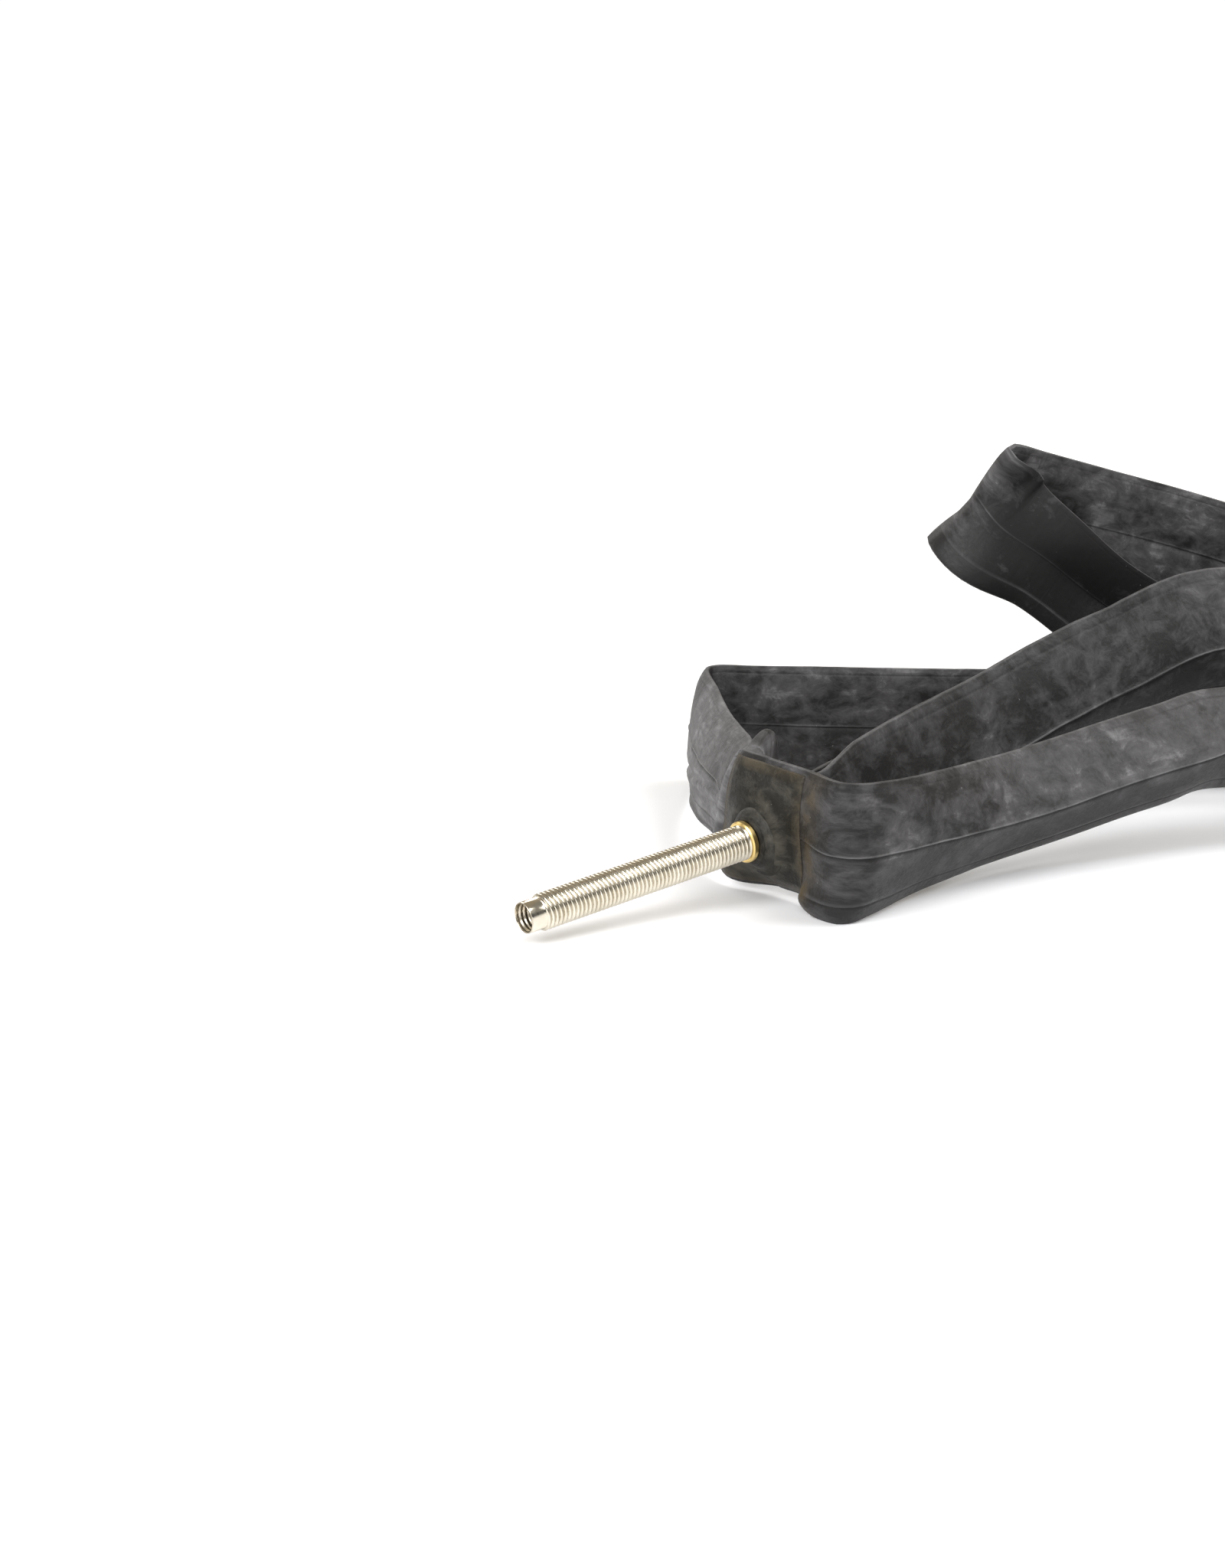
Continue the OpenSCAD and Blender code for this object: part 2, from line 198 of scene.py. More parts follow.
def make_world():
    """White near the horizon; above it dim and brown behind, dark and then grey in front."""
    world = bpy.data.worlds.new("studio")
    bpy.context.scene.world = world
    world.use_nodes = True
    tree = world.node_tree
    tree.nodes.clear()
    out = tree.nodes.new("ShaderNodeOutputWorld")
    back = tree.nodes.new("ShaderNodeBackground")
    where = tree.nodes.new("ShaderNodeTexCoord")
    split = tree.nodes.new("ShaderNodeSeparateXYZ")
    tree.links.new(where.outputs["Generated"], split.inputs[0])

    def share(value, low, high):
        made = tree.nodes.new("ShaderNodeMapRange")
        made.interpolation_type = "SMOOTHSTEP"
        made.inputs["From Min"].default_value = low
        made.inputs["From Max"].default_value = high
        tree.links.new(value, made.inputs["Value"])
        return made.outputs["Result"]

    def blend(amount, one, two):
        made = tree.nodes.new("ShaderNodeMix")
        made.data_type = "RGBA"
        tree.links.new(amount, made.inputs[0])
        for socket, value in zip((made.inputs[6], made.inputs[7]), (one, two)):
            if isinstance(value, tuple):
                socket.default_value = (*value, 1.0)
            else:
                tree.links.new(value, socket)
        return made.outputs[2]

    white = (1.05, 1.05, 1.05)
    behind = share(split.outputs["Y"], -0.30, 0.20)
    back_wall = blend(share(split.outputs["Z"], 0.08, 0.30), white, (0.36, 0.31, 0.23))
    front_high = blend(share(split.outputs["Z"], 0.42, 0.60), (0.07, 0.07, 0.07), (0.26, 0.25, 0.23))
    front = blend(share(split.outputs["Z"], 0.07, 0.17), white, front_high)
    colour = blend(behind, front, back_wall)
    tree.links.new(colour, back.inputs["Color"])
    tree.links.new(back.outputs[0], out.inputs["Surface"])


def make_floor():
    """White sheet that glows more and more away from the object, so that it has no far end."""
    mesh = bpy.data.meshes.new("floor")
    half = 6.0
    mesh.from_pydata(
        [(-half, -half, 0), (half, -half, 0), (half, half, 0), (-half, half, 0)],
        [],
        [(0, 1, 2, 3)],
    )
    floor = bpy.data.objects.new("floor", mesh)
    bpy.context.collection.objects.link(floor)
    m = Maker("floor_white")
    m.set(Base_Color=(0.86, 0.865, 0.885, 1.0), Roughness=0.5, Specular_IOR_Level=0.3)
    m.set(Emission_Color=(1.0, 1.0, 1.0, 1.0))
    place = m.node("ShaderNodeTexCoord")
    reach = m.node("ShaderNodeVectorMath", operation="LENGTH")
    m.join(place.outputs["Object"], reach.inputs[0])
    m.join(m.ramp(reach.outputs["Value"], 0.3, 1.4, 0.12, 1.0), m.shader.inputs["Emission Strength"])
    mesh.materials.append(m.material)


# ---------------------------------------------------------------- small material kit
class Maker:
    """A material with short ways to add and join nodes."""

    def __init__(self, name):
        self.material = bpy.data.materials.new(name)
        self.material.use_nodes = True
        self.tree = self.material.node_tree
        self.shader = self.tree.nodes["Principled BSDF"]

    def node(self, kind, **values):
        made = self.tree.nodes.new(kind)
        for key, value in values.items():
            setattr(made, key, value)
        return made

    def join(self, source, target):
        self.tree.links.new(source, target)

    def uv(self, scale):
        """Coordinates along and across the rubber, in metres times scale."""
        source = self.node("ShaderNodeUVMap", uv_map="run")
        mapping = self.node("ShaderNodeMapping")
        mapping.inputs["Scale"].default_value = scale
        self.join(source.outputs[0], mapping.inputs["Vector"])
        return mapping.outputs[0]

    def place(self, scale):
        source = self.node("ShaderNodeTexCoord")
        mapping = self.node("ShaderNodeMapping")
        mapping.inputs["Scale"].default_value = scale
        self.join(source.outputs["Object"], mapping.inputs["Vector"])
        return mapping.outputs[0]

    def noise(self, vector, scale, detail=4.0, rough=0.55, warp=0.0):
        made = self.node("ShaderNodeTexNoise")
        made.inputs["Distortion"].default_value = warp
        made.inputs["Scale"].default_value = scale
        made.inputs["Detail"].default_value = detail
        made.inputs["Roughness"].default_value = rough
        self.join(vector, made.inputs["Vector"])
        return made.outputs["Fac"]

    def ramp(self, value, low, high, start=0.0, end=1.0):
        made = self.node("ShaderNodeMapRange")
        made.inputs["From Min"].default_value = low
        made.inputs["From Max"].default_value = high
        made.inputs["To Min"].default_value = start
        made.inputs["To Max"].default_value = end
        self.join(value, made.inputs["Value"])
        return made.outputs["Result"]

    def maths(self, how, one, two):
        made = self.node("ShaderNodeMath", operation=how)
        for socket, value in zip(made.inputs, (one, two)):
            if isinstance(value, (int, float)):
                socket.default_value = value
            else:
                self.join(value, socket)
        return made.outputs[0]

    def mix(self, share, one, two):
        made = self.node("ShaderNodeMix", data_type="RGBA")
        if isinstance(share, (int, float)):
            made.inputs[0].default_value = share
        else:
            self.join(share, made.inputs[0])
        for socket, value in zip((made.inputs[6], made.inputs[7]), (one, two)):
            if isinstance(value, tuple):
                socket.default_value = (*value, 1.0)
            else:
                self.join(value, socket)
        return made.outputs[2]

    def bump(self, height, distance, strength=1.0):
        made = self.node("ShaderNodeBump")
        made.inputs["Strength"].default_value = strength
        made.inputs["Distance"].default_value = distance
        self.join(height, made.inputs["Height"])
        self.join(made.outputs[0], self.shader.inputs["Normal"])

    def set(self, **values):
        for key, value in values.items():
            self.shader.inputs[key.replace("_", " ")].default_value = value


def rubber_material(name, base, rubbed_and_lit, powder_and_highlight, stain):
    """Butyl rubber: cloudy rubbed tone, talc in streaks and specks, light lines on edges and mould lines
    that are partly rubbed talc and partly painted highlight, painted shade beside the mould lines and on
    shaded faces, painted light and shade in the tone of whole stretches, fine wrinkles.
    """
    m = Maker(name)
    cloud = m.noise(m.uv((60.0, 85.0, 1.0)), 1.0, 6.0, 0.62, 0.6)
    patchy = m.noise(m.uv((220.0, 310.0, 1.0)), 1.0, 6.0, 0.70, 0.5)
    streak = m.noise(m.uv((110.0, 700.0, 1.0)), 1.0, 5.0, 0.65, 0.3)
    fine = m.noise(m.uv((1500.0, 1700.0, 1.0)), 1.0, 4.0, 0.6)
    speck = m.noise(m.uv((1300.0, 1300.0, 1.0)), 1.0, 1.0, 0.4)
    wrinkle = m.noise(m.uv((420.0, 70.0, 1.0)), 1.0, 3.0, 0.6, 1.2)
    pale = m.node("ShaderNodeAttribute", attribute_name="pale").outputs["Fac"]
    wear_and_highlight = m.node("ShaderNodeAttribute", attribute_name="wear_and_highlight").outputs["Fac"]
    painted_shade = m.node("ShaderNodeAttribute", attribute_name="painted_shade").outputs["Fac"]
    brown = m.node("ShaderNodeAttribute", attribute_name="stain").outputs["Fac"]
    # how light a place is: big clouds, broken up by patches, more or less of both where pale says, and
    # pale adds painted light and shade to whole stretches
    clouds = m.ramp(cloud, 0.36, 0.64, -0.20, 0.65)
    patches = m.ramp(patchy, 0.34, 0.66, -0.35, 0.55)
    level = m.maths("ADD", clouds, patches)
    level = m.maths("ADD", level, m.ramp(pale, 0.0, 1.0, -0.7, 0.7))
    level = m.maths("ADD", level, m.ramp(streak, 0.35, 0.70, -0.06, 0.08))
    rubbed_and_lit_share = m.ramp(level, 0.0, 1.0)
    dust = m.maths("MULTIPLY", m.ramp(level, 0.70, 1.25), m.ramp(streak, 0.42, 0.66))
    colour = m.mix(rubbed_and_lit_share, base, rubbed_and_lit)
    colour = m.mix(m.maths("MULTIPLY", dust, 0.55), colour, powder_and_highlight)
    colour = m.mix(m.maths("MULTIPLY", m.ramp(speck, 0.79, 0.83), 0.6), colour, powder_and_highlight)
    # light lines on edges, mould lines and ridges: partly rubbed talc, partly painted highlight
    colour = m.mix(m.maths("MULTIPLY", wear_and_highlight, m.ramp(patchy, 0.25, 0.6, 0.25, 0.85)), colour, powder_and_highlight)
    # painted shade: dark lines beside the mould lines, darker shaded faces
    colour = m.mix(m.maths("MULTIPLY", painted_shade, 0.8), colour, (0.004, 0.004, 0.004))
    colour = m.mix(m.maths("MULTIPLY", brown, m.ramp(patchy, 0.3, 0.6)), colour, stain)
    m.join(colour, m.shader.inputs["Base Color"])
    rough = m.ramp(fine, 0.3, 0.7, 0.40, 0.54)
    rough = m.maths("ADD", rough, m.maths("MULTIPLY", rubbed_and_lit_share, 0.10))
    m.join(rough, m.shader.inputs["Roughness"])
    m.set(Specular_IOR_Level=0.22)
    height = m.maths("ADD", m.maths("MULTIPLY", wrinkle, 0.6), m.maths("MULTIPLY", fine, 0.22))
    height = m.maths("ADD", height, m.maths("MULTIPLY", patchy, 0.9))
    m.bump(height, 0.00030, 0.6)
    return m.material


def metal_material(name, light, dark, rough_low, rough_high, bump, shade_colour=None):
    """Plated metal; the last argument, if given, is the colour laid on where the stem's attribute says
    so: painted shade in the thread roots and inside the mouth, and a darker mouth rim.
    """
    m = Maker(name)
    cloud = m.noise(m.place((260.0, 260.0, 260.0)), 1.0, 4.0, 0.6)
    fine = m.noise(m.place((2200.0, 2200.0, 2200.0)), 1.0, 3.0, 0.5)
    colour = m.mix(m.ramp(cloud, 0.35, 0.7), light, dark)
    rough = m.ramp(fine, 0.3, 0.7, rough_low, rough_high)
    if shade_colour:
        # painted shade in the thread roots and inside the mouth, and a darker mouth rim, made rougher
        # too
        shade_and_dark_rim = m.node("ShaderNodeAttribute", attribute_name="shade_and_dark_rim").outputs["Fac"]
        amount = m.maths("MULTIPLY", shade_and_dark_rim, m.ramp(cloud, 0.30, 0.62, 0.55, 1.0))
        colour = m.mix(amount, colour, shade_colour)
        rough = m.maths("ADD", rough, m.maths("MULTIPLY", amount, 0.25))
    m.join(colour, m.shader.inputs["Base Color"])
    m.join(rough, m.shader.inputs["Roughness"])
    m.set(Metallic=1.0)
    m.bump(fine, bump, 0.4)
    return m.material


def seal_material():
    m = Maker("seal_rubber_look")
    fine = m.noise(m.place((1800.0, 1800.0, 1800.0)), 1.0, 3.0, 0.5)
    m.join(m.mix(fine, (0.012, 0.012, 0.012), (0.03, 0.03, 0.032)), m.shader.inputs["Base Color"])
    m.join(m.ramp(fine, 0.3, 0.7, 0.35, 0.6), m.shader.inputs["Roughness"])
    m.bump(fine, 0.00003, 0.3)
    return m.material


# ---------------------------------------------------------------- the tube's run
def curve_point(stops, i, t):
    count = len(stops)
    before, here = stops[(i - 1) % count], stops[i % count]
    after, next_on = stops[(i + 1) % count], stops[(i + 2) % count]
    return 0.5 * (
        2 * here
        + (after - before) * t
        + (2 * before - 5 * here + 4 * after - next_on) * t * t
        + (3 * here - before - 3 * after + next_on) * t ** 3
    )


def curve_slope(stops, i, t):
    count = len(stops)
    before, here = stops[(i - 1) % count], stops[i % count]
    after, next_on = stops[(i + 1) % count], stops[(i + 2) % count]
    return 0.5 * (
        (after - before)
        + 2 * (2 * before - 5 * here + 4 * after - next_on) * t
        + 3 * (3 * here - before - 3 * after + next_on) * t * t
    )


class Run:
    """Rings of the tube: middle, edge direction, face direction and sizes at each."""

    def __init__(self, first, last, spacing):
        stops = np.array(ROUTE)
        values, slopes, params = [], [], []
        for i in range(first, last):
            chord = np.linalg.norm(curve_point(stops, i, 1.0)[:3] - curve_point(stops, i, 0.0)[:3])
            finer = 3 if abs(from_valve(i + 0.5)) < 4 else 1
            steps = max(8, math.ceil(finer * chord / spacing))
            for k in range(steps):
                values.append(curve_point(stops, i, k / steps))
                slopes.append(curve_slope(stops, i, k / steps)[:3])
                params.append(i + k / steps)
        self.params = np.array(params)
        values = np.array(values)
        slopes = np.array(slopes)
        self.heading = slopes / np.linalg.norm(slopes, axis=1)[:, None]
        side = np.cross([0.0, 0.0, 1.0], self.heading)
        side /= np.linalg.norm(side, axis=1)[:, None]
        up = np.cross(self.heading, side)
        lean = np.radians(values[:, 3])[:, None]
        self.middle = values[:, :3]
        self.edge = np.cos(lean) * up + np.sin(lean) * side
        self.face = np.cross(self.heading, self.edge)
        self.half = values[:, 4] / 2
        self.thick = values[:, 5]
        self.crease = values[:, 6]
        gaps = np.linalg.norm(np.diff(self.middle, axis=0), axis=1)
        self.length = np.concatenate([[0.0], np.cumsum(gaps)])


# Lines along the rubber, as shares of the half width: two moulding lines and a soft crease.
MID_LINE = 0.03
LOW_LINE = -0.72
TOP_LINE = 0.88


def section_shares():
    """Where the section has points, from -1 to 1: evenly spread, and closer at lines and edges."""
    shares = [-1.0 + k / 20 for k in range(41)]
    for line in (MID_LINE, LOW_LINE, TOP_LINE):
        shares += [line + step for step in (-0.036, -0.024, -0.012, 0.0, 0.012, 0.024)]
    for edge in (0.93, 0.955, 0.968, 0.978, 0.986, 0.993, 0.998):
        shares += [-edge, edge]
    kept = []
    for share in sorted(shares):
        if not kept or share - kept[-1] > 0.0045:
            kept.append(share)
    kept[-1] = 1.0
    return kept


def half_thickness(a, thick):
    """Half the section's thickness at share a: a lens that ends in a pressed lip."""
    edge = abs(a)
    if edge > LIP_FROM:
        return LIP * math.sqrt(max(0.0, 1.0 - ((edge - LIP_FROM) / (1.0 - LIP_FROM)) ** 2))
    lens = (1.0 - (edge / LIP_FROM) ** 2.4) ** 0.8
    return LIP + max(0.0, thick / 2 - LIP) * lens


def tone(x, y, scale, seed):
    """Smooth noise between about -1 and 1."""
    return noise.noise(Vector((x * scale, y * scale, seed)))


def bell(x, centre, width):
    return math.exp(-(((x - centre) / width) ** 2))


def rise(x, low, high):
    """Smooth step from 0 at low to 1 at high."""
    t = min(1.0, max(0.0, (x - low) / (high - low)))
    return t * t * (3.0 - 2.0 * t)


def from_valve(p):
    """Signed number of stops from the stem along the closed route."""
    count = len(ROUTE)
    p = p % count
    return p if p < count / 2 else p - count


def skin_point(run, r, u, outer):
    """A point of the tube's surface at ring r, share u, on its outer or inner face."""
    q = from_valve(run.params[r])
    s = run.length[r]
    sign = 1.0 if outer else -1.0
    half = run.half[r]
    # on the second run the mid line lies low on the face
    second = rise(q, 13.0, 16.0) * (1.0 - rise(q, 22.0, 24.0))
    a = u - 0.24 * second * (1.0 - u * u)
    near_valve = math.exp(-((q / 1.25) ** 4))
    calm = 1.0 - 0.85 * near_valve
    edge_share = 1.0 - abs(u) ** 6
    # the mid crease, kept a little round
    crease = run.crease[r] * (1.0 - math.sqrt(u * u + 0.0006)) / 0.975
    sway = 0.0004 * tone(s, 0.0, 22.0, 3.1) + 0.0002 * tone(s, 0.0, 70.0, 9.4)
    out = sign * half_thickness(u, run.thick[r]) + crease + sway
    reach = half * a
    # the raised fold is smooth, and its lower edge hangs a little
    raised = math.exp(-(((q + 25.5) / 3.5) ** 4))
    reach -= 0.0013 * bell(q, -22.6, 0.9) * rise(-u, 0.2, 1.0)
    calm *= 1.0 - 0.85 * raised
    # moulding lines
    out += sign * 0.00020 * bell(u, MID_LINE, 0.011) * calm
    out -= sign * 0.00016 * bell(u, MID_LINE - 0.03, 0.014) * calm
    out -= sign * 0.00022 * bell(u, LOW_LINE, 0.016) * calm * (0.7 + 0.6 * tone(s, 2.0, 15.0, 5.0))
    out -= sign * 0.00012 * bell(u, TOP_LINE, 0.014) * (0.5 + tone(s, 4.0, 20.0, 5.0))
    # slack hollows and swells, and short wrinkles across the run
    y = u * half
    slack = 0.00050 * tone(s * 0.55, y * 1.6, 90.0, 1.7 + sign)
    slack += 0.00016 * tone(s, y * 0.6, 230.0, 6.3 + sign)
    out += slack * edge_share * calm
    # waves in the pressed edges, none at the raised fold
    wave = 0.00020 * tone(s, 0.0, 45.0, 12.0 + math.copysign(1.0, u))
    wave += 0.00007 * tone(s, 0.0, 260.0, 17.0 + math.copysign(1.0, u))
    reach += wave * abs(u) ** 3 * (1.0 - raised)
    # the panel's right corner swells out into a lobe at its foot
    lobe = rise(q, 0.80, 1.12) * (1.0 - rise(q, 1.25, 2.4)) * rise(-u, 0.40, 0.85)
    out += 0.0030 * lobe
    reach -= 0.0004 * lobe
    # its left corner: a heel at the foot, a ridge beside the panel, a crease left of the ridge
    out += 0.0017 * bell(q, -1.05, 0.34) * rise(-u, 0.05, 0.65)
    if outer:
        out += 0.0007 * bell(q, -1.22, 0.13) * rise(u, -0.75, -0.2)
        out -= 0.0008 * bell(q, -1.50, 0.13) * rise(u, -0.9, -0.4)
        # the left side's lower part is tucked in below a slanting crease
        left = rise(-q, 1.5, 1.9) * (1.0 - rise(-q, 4.6, 5.4))
        fold = -0.05 - 0.16 * (-q - 1.5)
        out -= 0.0007 * bell(u, fold, 0.07) * left
        out -= 0.0012 * rise(fold - u, 0.0, 0.35) * left
    else:
        # the inner wall curls up behind the panel's corner
        arch = math.sin(math.pi * min(1.0, max(0.0, (u - 0.40) / 0.60)))
        curl = math.sqrt(max(0.0, arch * (1.0 - ((q + 0.58) / 0.38) ** 4)))
        out -= 0.0034 * curl
        reach += 0.0056 * curl
    return (
        Vector(run.middle[r])
        + Vector(run.edge[r]) * reach
        + Vector(run.face[r]) * out
    )


def skin_marks(run, r, u, outer):
    """Light lines, painted shade, stain and paleness at a place.

    The first draws light lines on ridges and edges, partly rubbed talc and partly painted highlight; the
    second is painted shade, dark lines beside the mould lines and darker shaded faces; stain is the
    brown glue beside the patch; and pale says how much talc a stretch of the tube has kept, with painted
    light on the left side and painted shade on the raised fold's front and on the lower halves of the
    front and second runs.
    """
    q = from_valve(run.params[r])
    s = run.length[r]
    away = 1.0 - math.exp(-((q / 1.25) ** 4))
    back_run = rise(q, -15.0, -13.0) * (1.0 - rise(q, -6.5, -5.0))
    raised_front = rise(q, -26.0, -24.5) * (1.0 - rise(q, -20.0, -18.0))
    raised_back = rise(q, -33.0, -31.0) * (1.0 - rise(q, -26.0, -25.0))
    front = rise(q, 1.8, 3.0) * (1.0 - rise(q, 9.0, 11.0))
    second = rise(q, 13.0, 16.0) * (1.0 - rise(q, 22.0, 24.0))
    left = rise(q, -5.0, -4.0) * (1.0 - rise(q, -1.2, -0.6))
    faint = 1.0 - 0.75 * max(back_run, raised_front, raised_back)
    # light edges and mould lines: partly rubbed talc, partly painted highlight
    wear_and_highlight = 0.50 * rise(abs(u), 0.982, 0.997) * (0.7 + 0.6 * tone(s, 0.0, 60.0, 2.0))
    wear_and_highlight += bell(u, MID_LINE, 0.010) * away * faint * (0.65 + 0.5 * tone(s, 0.0, 40.0, 4.0))
    wear_and_highlight += 0.4 * bell(u, LOW_LINE + 0.02, 0.012) * away * (0.5 + tone(s, 0.0, 35.0, 6.0))
    # painted shade: dark lines beside the mould lines, a dark band on the raised fold's front face and
    # the lower half of the second run
    painted_shade = bell(u, MID_LINE - 0.03, 0.016) * away * faint
    painted_shade += 0.8 * bell(u, LOW_LINE, 0.014) * away * faint
    painted_shade += 0.5 * bell(u, TOP_LINE, 0.012) * (0.4 + tone(s, 0.0, 25.0, 7.0))
    painted_shade *= 1.0 - raised_front
    painted_shade += 0.35 * raised_front * bell(u, 0.1, 0.45)
    painted_shade += 0.30 * second * rise(-u, -0.05, 0.15)
    # light line along the ridge beside the panel: partly rubbed talc, partly painted highlight
    ridge = bell(q, -1.22, 0.10) if outer else 0.0
    stain = bell(q, 1.22, 0.22) * (0.6 + 0.8 * tone(s, u * 0.02, 300.0, 3.0)) if outer else 0.0
    # pale: painted light on the left side and the upper half of the front run, painted shade on the
    # raised fold's front face and the lower halves of the front and second runs; the back run and the
    # rear climb are paler
    pale = 0.5 + 0.10 * back_run + 0.22 * raised_back - 0.60 * raised_front + 0.50 * left
    pale += 0.06 * front * rise(u, -0.1, 0.3) - 0.26 * front * rise(-u, -0.1, 0.3)
    pale -= second * (0.08 + 0.16 * rise(-u, -0.1, 0.3))
    marks = (wear_and_highlight + 0.5 * ridge, painted_shade, stain, pale)
    return [min(1.0, max(0.0, mark)) for mark in marks]


def new_piece(name, points, faces, material, body):
    mesh = bpy.data.meshes.new(name)
    mesh.from_pydata(points, [], faces)
    mesh.validate()
    mesh.update()
    mesh.materials.append(material)
    for polygon in mesh.polygons:
        polygon.use_smooth = True
    piece = bpy.data.objects.new(name, mesh)
    bpy.context.collection.objects.link(piece)
    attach(piece, body)
    return piece


def add_run_uv(piece, values, marks):
    """UV map in metres, along the run and round the girth, and the marks as attributes."""
    layer = piece.data.uv_layers.new(name="run")
    for loop in piece.data.loops:
        layer.data[loop.index].uv = values[loop.vertex_index]
    for column, name in enumerate(("wear_and_highlight", "painted_shade", "stain", "pale")):
        attribute = piece.data.attributes.new(name, "FLOAT", "POINT")
        for vertex, mark in enumerate(marks):
            attribute.data[vertex].value = mark[column]


def make_tube(material):
    run = Run(0, len(ROUTE), 0.0025)
    outer_side = section_shares()
    inner_side = list(reversed(outer_side))[1:-1]
    rings = len(run.params)
    sides = len(outer_side) + len(inner_side)
    points, uv, marks = [], [], []
    for r in range(rings):
        for u in outer_side:
            points.append(skin_point(run, r, u, True))
            uv.append((run.length[r], u * run.half[r]))
            marks.append(skin_marks(run, r, u, True))
        for u in inner_side:
            points.append(skin_point(run, r, u, False))
            uv.append((run.length[r], 0.03 - u * run.half[r]))
            marks.append(skin_marks(run, r, u, False))
    faces = []
    for r in range(rings):
        q = (r + 1) % rings
        for k in range(sides):
            j = (k + 1) % sides
            faces.append((r * sides + k, q * sides + k, q * sides + j, r * sides + j))
    piece = new_piece("tube_skin", points, faces, material, "tube_with_valve")
    add_run_uv(piece, uv, marks)
    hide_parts("tube")
    return piece


def make_patch(material):
    """Reinforcement sheet on the outer face, feathered at its four borders."""
    run = Run(-1, 1, 0.0020)
    steps = 60
    across = [-PATCH_SHARE + 2 * PATCH_SHARE * k / steps for k in range(steps + 1)]
    rings = len(run.params)
    wide = len(across)
    points, uv, marks = [], [], []
    total = run.length[-1]
    axis = stem_matrix().to_3x3() @ Vector((0.0, 0.0, 1.0))
    for r in range(rings):
        for a in across:
            base = skin_point(run, r, a, True)
            near_end = min(run.length[r], total - run.length[r])
            near_side = (PATCH_SHARE - abs(a)) * run.half[r]
            rim = min(1.0, min(near_end, near_side) / PATCH_BEVEL)
            lift = 0.00006 + PATCH_T * rise(rim, 0.0, 1.0)
            # the sheet rises to the boss
            aside = base - SEAT
            aside -= axis * aside.dot(axis)
            lift += 0.0014 * (1.0 - rise(aside.length, 0.0046, 0.0088))
            points.append(base + Vector(run.face[r]) * lift)
            uv.append((run.length[r], a * run.half[r]))
            # painted highlight in a ring round the boss's foot, laid into the patch's paleness
            rim_highlight = bell(aside.length, 0.0062, 0.0012) * (0.5 + 1.2 * tone(aside.x, aside.y, 220.0, 5.0))
            paleness = min(1.0, max(0.0, 0.38 + 0.4 * rim_highlight))
            marks.append((0.2 * (1.0 - rim), 0.0, 0.6 * (1.0 - rim), paleness))
    top = len(points)
    for r in range(rings):
        for a in across:
            base = skin_point(run, r, a, True)
            points.append(base - Vector(run.face[r]) * 0.0002)
            uv.append((run.length[r], a * run.half[r]))
            marks.append((0.0, 0.0, 0.0, 0.42))
    faces = []
    for r in range(rings - 1):
        for k in range(wide - 1):
            i = r * wide + k
            faces.append((i, i + wide, i + wide + 1, i + 1))
            faces.append((top + i, top + i + 1, top + i + wide + 1, top + i + wide))
    rim_loop = [k for k in range(wide)]
    rim_loop += [r * wide + wide - 1 for r in range(1, rings)]
    rim_loop += [(rings - 1) * wide + k for k in range(wide - 2, -1, -1)]
    rim_loop += [r * wide for r in range(rings - 2, 0, -1)]
    for one, two in zip(rim_loop, rim_loop[1:] + rim_loop[:1]):
        faces.append((one, two, top + two, top + one))
    piece = new_piece("valve_patch_skin", points, faces, material, "tube_with_valve")
    add_run_uv(piece, uv, marks)
    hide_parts("valve_patch")
    return piece


# ---------------------------------------------------------------- turned pieces on the stem's axis
def stem_matrix():
    turn = Matrix.Rotation(STEM_TURN, 4, "Z") @ Matrix.Rotation(math.pi / 2 + STEM_DROOP, 4, "Y")
    return Matrix.Translation(SEAT) @ turn


def lathe(profile, columns, wobble=None):
    """Closed surface turned from (radius, height) points; the first and last touch the axis side."""
    points, faces = [], []
    rows = len(profile)
    for k, (radius, height) in enumerate(profile):
        for j in range(columns):
            angle = 2 * math.pi * j / columns
            r, z = radius, height
            if wobble:
                r, z = wobble(k, angle, radius, height)
            points.append(Vector((r * math.cos(angle), r * math.sin(angle), z)))
    for k in range(rows):
        n = (k + 1) % rows
        for j in range(columns):
            i = (j + 1) % columns
            faces.append((k * columns + j, k * columns + i, n * columns + i, n * columns + j))
    return points, faces


def smooth_line(stops, steps):
    """Points of a smooth curve through two-number stops."""
    line = []
    for i in range(len(stops) - 1):
        before = stops[max(0, i - 1)]
        after = stops[min(len(stops) - 1, i + 2)]
        for k in range(steps):
            t = k / steps
            line.append(tuple(
                0.5 * (
                    2 * b + (c - a) * t + (2 * a - 5 * b + 4 * c - d) * t * t
                    + (3 * b - a - 3 * c + d) * t ** 3
                )
                for a, b, c, d in zip(before, stops[i], stops[i + 1], after)
            ))
    line.append(tuple(stops[-1]))
    return line


